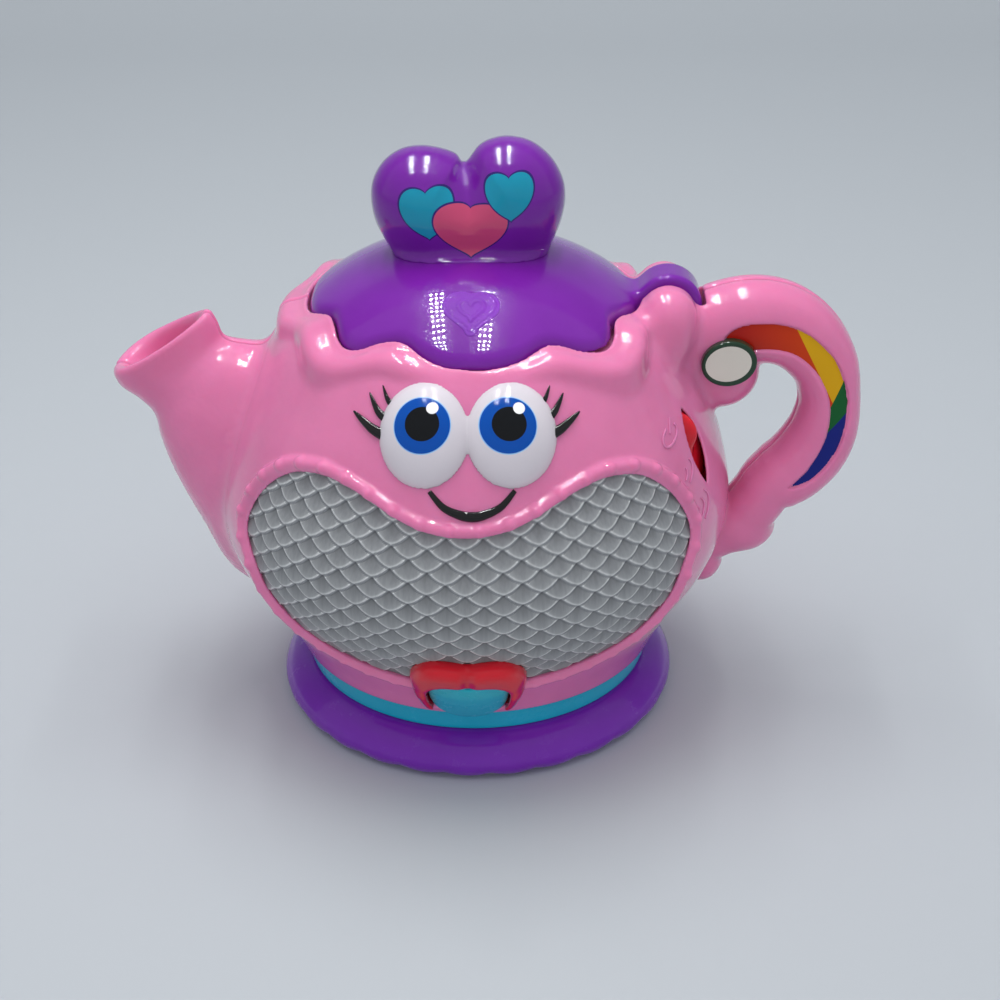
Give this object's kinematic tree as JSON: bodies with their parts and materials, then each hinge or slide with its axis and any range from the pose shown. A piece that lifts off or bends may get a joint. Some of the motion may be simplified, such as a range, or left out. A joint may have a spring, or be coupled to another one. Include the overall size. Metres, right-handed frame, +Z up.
{
  "type": "toy teapot",
  "caption": "Free-standing round toy teapot with a hinged lid and heart knob, light window, press button, volume slider, hollow spout mouth and loop handle.",
  "frame": {"origin": "on the floor, under the middle of the bounding box of the whole toy with spout and handle", "axes": "+Z up, the face and light window towards -Y, the spout towards -X, the handle towards +X"},
  "size_m": [0.2512, 0.174, 0.1996],
  "materials": {
    "foot_purple": "glossy moulded plastic",
    "band_teal": "glossy moulded plastic",
    "shell_pink": "glossy moulded plastic",
    "lens_frost": "frosted translucent plastic",
    "tray_white": "plain white plastic",
    "board_green": "circuit board",
    "lid_purple": "glossy moulded plastic",
    "emblem_frost": "frosted plastic",
    "knob_purple": "glossy moulded plastic with printed hearts",
    "steel": "bright steel",
    "well_purple": "glossy moulded plastic",
    "eye_white": "glossy white plastic with printed eyes",
    "line_black": "glossy black plastic",
    "bezel_red": "glossy moulded plastic",
    "button_teal": "glossy moulded plastic",
    "switch_black": "black plastic",
    "badge_cream": "plain cream plate with a green rim",
    "rainbow_print": "rainbow bands",
    "slider_red": "glossy moulded plastic",
    "speaker_black": "black frame and cone",
    "box_black": "black plastic",
    "cell_gold": "plain wrapped cell",
    "door_purple": "glossy moulded plastic"
  },
  "bodies": {
    "pot": {"base_foot": "foot_purple", "base_band": "band_teal", "front_shell": "shell_pink", "back_shell": "shell_pink", "window_lens": "lens_frost", "light_reflector": "tray_white", "lamp_board": "board_green", "hinge_pin": "steel", "tea_well": "well_purple", "eye_domes": "eye_white", "lash_set": "line_black", "smile_inlay": "line_black", "heart_bezel": "bezel_red", "button_spring": "steel", "push_switch": "switch_black", "oval_badge": "badge_cream", "rainbow_inlay": "rainbow_print", "slide_switch": "switch_black", "main_board": "board_green", "tilt_switch": "steel", "speaker": "speaker_black", "speaker_ring": "speaker_black", "battery_box": "box_black", "cell_1": "cell_gold", "cell_2": "cell_gold", "cell_3": "cell_gold", "cell_contacts": "steel", "battery_door": "door_purple", "door_screw": "steel", "shell_screws": "steel", "base_screws": "steel"},
    "lid": {"lid_dome": "lid_purple", "lid_emblem": "emblem_frost", "heart_knob": "knob_purple", "knob_screw": "steel"},
    "button": {"heart_button": "button_teal"},
    "slider": {"slider_cap": "slider_red"}
  },
  "joints": [
    {"name": "lid_hinge", "type": "hinge", "parent": "pot", "child": "lid", "pos_m": [0.05959, 0, 0.14342], "axis": [0, 1, 0], "range_deg": [0, 75]},
    {"name": "button_press", "type": "slide", "parent": "pot", "child": "button", "axis": [0, 1, 0], "range_m": [0, 0.002], "stiffness_N_per_m": 400, "springref_m": -0.001, "deforming": ["button_spring"]},
    {"name": "volume_slide", "type": "slide", "parent": "pot", "child": "slider", "axis": [0.3405, -0.1588, -0.9267], "range_m": [0, 0.012]}
  ]
}
